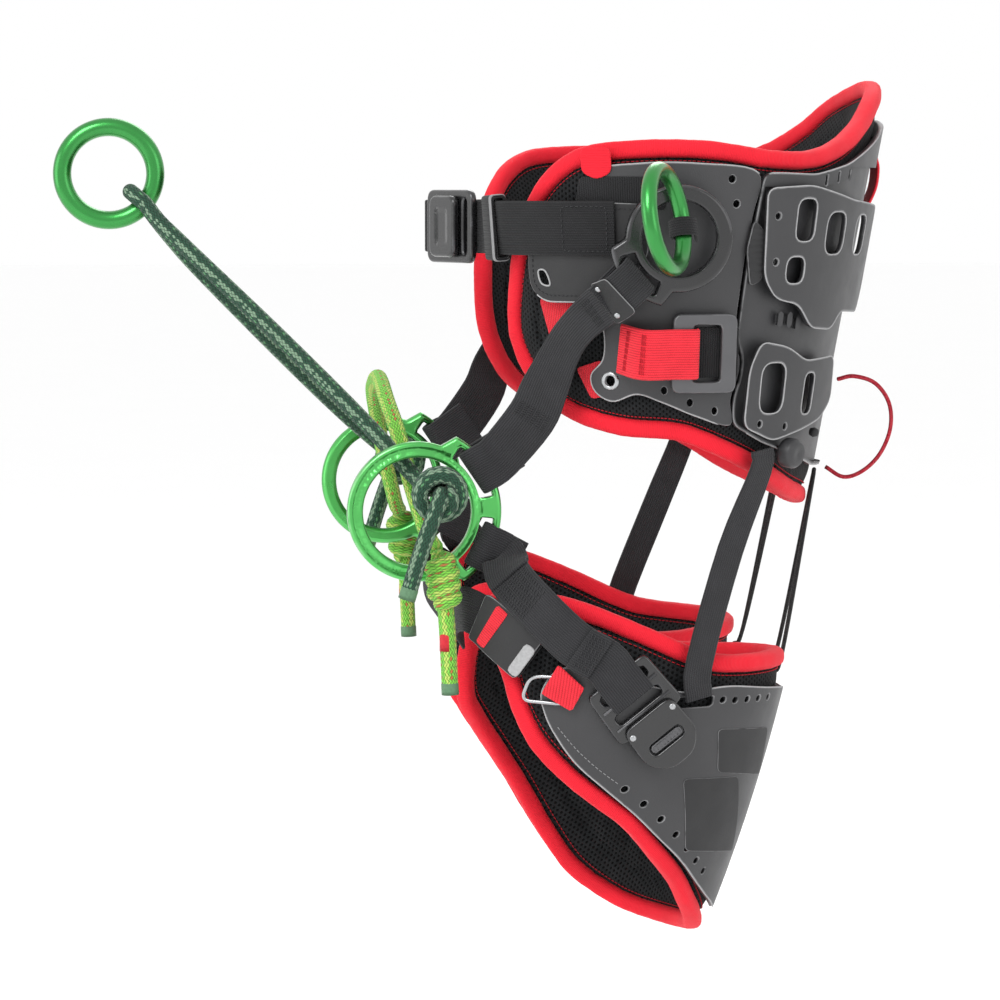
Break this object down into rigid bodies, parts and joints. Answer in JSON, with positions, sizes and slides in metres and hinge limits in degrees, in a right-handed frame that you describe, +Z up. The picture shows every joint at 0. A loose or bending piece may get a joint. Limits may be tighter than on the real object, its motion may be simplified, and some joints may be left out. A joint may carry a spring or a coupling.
{
  "type": "tree climbing saddle",
  "caption": "Padded tree climbing saddle: wrap-around waist belt, two leg loops, webbing, side and bridge rings, and a rope bridge that carries a sliding ring.",
  "frame": {"origin": "centre of the waist opening, at the middle of the belt's height where the wearer's waist sits", "axes": "-Y towards the wearer's front, +X towards the wearer's left, +Z up"},
  "size_m": [0.55, 0.583, 0.5817],
  "materials": {
    "mesh": "black spacer mesh over foam",
    "binding": "coral red edge binding, matt",
    "shell": "satin dark grey moulded sheet",
    "webbing": "dark woven polyester webbing",
    "red_webbing": "red woven webbing with bar tacks",
    "green": "bright green anodised",
    "dark_metal": "black anodised",
    "grey_metal": "dull grey steel",
    "rope_dark": "dark green kernmantle rope with pale flecks",
    "rope_light": "lime kernmantle rope with yellow and red tracers",
    "cord": "black elastic cord",
    "cord_red": "crimson accessory cord"
  },
  "bodies": {
    "harness": {"accessory_loop_left": "webbing", "accessory_loop_right": "webbing", "back_shell": "shell", "belt_binding": "binding", "belt_pad": "mesh", "bridge_ring_left": "green", "bridge_ring_right": "green", "dark_knot_left": "rope_dark", "dark_knot_right": "rope_dark", "hip_shell_left": "shell", "hip_shell_right": "shell", "hip_strap_left": "webbing", "hip_strap_right": "webbing", "light_knot_left": "rope_light", "light_knot_right": "rope_light", "lower_gear_carrier_left": "shell", "lower_gear_carrier_right": "shell", "pull_loop": "cord_red", "strap_keeper": "webbing", "upper_gear_carrier_left": "shell", "upper_gear_carrier_right": "shell", "waist_buckle_frame": "dark_metal", "waist_strap_left": "webbing", "waist_strap_right": "webbing", "wing_panel_left": "webbing", "wing_panel_right": "webbing"},
    "waist_tongue": {"waist_buckle_tongue": "dark_metal"},
    "left_lateral_ring": {"lateral_ring_left": "dark_metal"},
    "left_accessory_ring": {"accessory_ring_left": "green"},
    "left_adjuster": {"adjuster_frame_left": "grey_metal", "adjuster_strap_left": "red_webbing"},
    "left_leg_loop": {"leg_pad_left": "mesh", "leg_binding_left": "binding", "leg_shell_left": "shell", "leg_buckle_frame_left": "dark_metal", "hook_strap_left": "webbing", "leg_strap_left": "webbing", "suspension_strap_left": "webbing", "elastic_cord_left": "cord"},
    "left_leg_tongue": {"leg_buckle_tongue_left": "dark_metal"},
    "left_wire_hook": {"wire_hook_left": "grey_metal"},
    "left_cord_knob": {"cord_knob_left": "shell"},
    "right_lateral_ring": {"lateral_ring_right": "dark_metal"},
    "right_accessory_ring": {"accessory_ring_right": "green"},
    "right_adjuster": {"adjuster_frame_right": "grey_metal", "adjuster_strap_right": "red_webbing"},
    "right_leg_loop": {"leg_pad_right": "mesh", "leg_binding_right": "binding", "leg_shell_right": "shell", "leg_buckle_frame_right": "dark_metal", "hook_strap_right": "webbing", "leg_strap_right": "webbing", "suspension_strap_right": "webbing", "elastic_cord_right": "cord"},
    "right_leg_tongue": {"leg_buckle_tongue_right": "dark_metal"},
    "right_wire_hook": {"wire_hook_right": "grey_metal"},
    "right_cord_knob": {"cord_knob_right": "shell"},
    "bridge": {"bridge_rope_dark": "rope_dark"},
    "backup_bridge": {"bridge_rope_light": "rope_light"},
    "centre_ring": {"centre_ring": "green"}
  },
  "joints": [
    {"name": "waist_tongue_release", "type": "hinge", "parent": "harness", "child": "waist_tongue", "pos_m": [0.01242, -0.17362, 0.052], "axis": [0, 0, -1], "range_deg": [0, 30]},
    {"name": "left_lateral_ring_flip", "type": "hinge", "parent": "harness", "child": "left_lateral_ring", "pos_m": [0.19458, -0.06412, 0.0185], "axis": [-0.0739, 0.6691, -0.7395], "range_deg": [0, 5]},
    {"name": "left_accessory_ring_swing", "type": "hinge", "parent": "harness", "child": "left_accessory_ring", "pos_m": [0.21522, -0.03367, 0.05253], "axis": [-0.247, -0.0447, 0.968], "range_deg": [-15, 15]},
    {"name": "left_adjuster_lift", "type": "hinge", "parent": "harness", "child": "left_adjuster", "pos_m": [0.17395, -0.06831, -0.026], "axis": [0, 0, -1], "range_deg": [0, 12], "deforming": ["adjuster_strap_left"]},
    {"name": "left_leg_loop_swing", "type": "hinge", "parent": "harness", "child": "left_leg_loop", "pos_m": [0.13, -0.15082, -0.15955], "axis": [1, 0, 0], "range_deg": [0, 15], "deforming": ["leg_strap_left", "suspension_strap_left", "elastic_cord_left"]},
    {"name": "left_leg_tongue_release", "type": "hinge", "parent": "left_leg_loop", "child": "left_leg_tongue", "pos_m": [0.18949, -0.05161, -0.26525], "axis": [-0.0184, -0.783, -0.6217], "range_deg": [0, 20]},
    {"name": "left_wire_hook_swing", "type": "hinge", "parent": "left_leg_loop", "child": "left_wire_hook", "pos_m": [0.17259, -0.12959, -0.248], "axis": [-0.1377, -0.3424, -0.9294], "range_deg": [0, 35]},
    {"name": "left_cord_knob_turn", "type": "hinge", "parent": "harness", "child": "left_cord_knob", "pos_m": [0.14072, 0.04698, -0.0965], "axis": [0.7037, 0.6979, -0.1331], "continuous": true},
    {"name": "right_lateral_ring_flip", "type": "hinge", "parent": "harness", "child": "right_lateral_ring", "pos_m": [-0.19458, -0.06412, 0.0185], "axis": [-0.0739, -0.6691, 0.7395], "range_deg": [0, 5]},
    {"name": "right_accessory_ring_swing", "type": "hinge", "parent": "harness", "child": "right_accessory_ring", "pos_m": [-0.21522, -0.03367, 0.05253], "axis": [-0.247, 0.0447, -0.968], "range_deg": [-15, 15]},
    {"name": "right_adjuster_lift", "type": "hinge", "parent": "harness", "child": "right_adjuster", "pos_m": [-0.17395, -0.06831, -0.026], "axis": [0, 0, 1], "range_deg": [0, 12], "deforming": ["adjuster_strap_right"]},
    {"name": "right_leg_loop_swing", "type": "hinge", "parent": "harness", "child": "right_leg_loop", "pos_m": [-0.13, -0.15082, -0.15955], "axis": [1, 0, 0], "range_deg": [0, 15], "deforming": ["leg_strap_right", "suspension_strap_right", "elastic_cord_right"]},
    {"name": "right_leg_tongue_release", "type": "hinge", "parent": "right_leg_loop", "child": "right_leg_tongue", "pos_m": [-0.18949, -0.05161, -0.26525], "axis": [-0.0184, 0.783, 0.6217], "range_deg": [0, 20]},
    {"name": "right_wire_hook_swing", "type": "hinge", "parent": "right_leg_loop", "child": "right_wire_hook", "pos_m": [-0.17259, -0.12959, -0.248], "axis": [-0.1377, 0.3424, 0.9294], "range_deg": [0, 35]},
    {"name": "right_cord_knob_turn", "type": "hinge", "parent": "harness", "child": "right_cord_knob", "pos_m": [-0.14072, 0.04698, -0.0965], "axis": [-0.7037, 0.6979, -0.1331], "continuous": true},
    {"name": "bridge_swing", "type": "hinge", "parent": "harness", "child": "bridge", "pos_m": [0, -0.1885, -0.1195], "axis": [1, 0, 0], "range_deg": [-25, 40], "deforming": ["bridge_rope_dark"]},
    {"name": "backup_bridge_swing", "type": "hinge", "parent": "harness", "child": "backup_bridge", "pos_m": [0, -0.1875, -0.155], "axis": [1, 0, 0], "range_deg": [-20, 40], "deforming": ["bridge_rope_light"]},
    {"name": "centre_ring_swing", "type": "hinge", "parent": "bridge", "child": "centre_ring", "pos_m": [0, -0.37264, 0.06756], "axis": [0, 0.6428, 0.766], "range_deg": [-40, 40]}
  ]
}
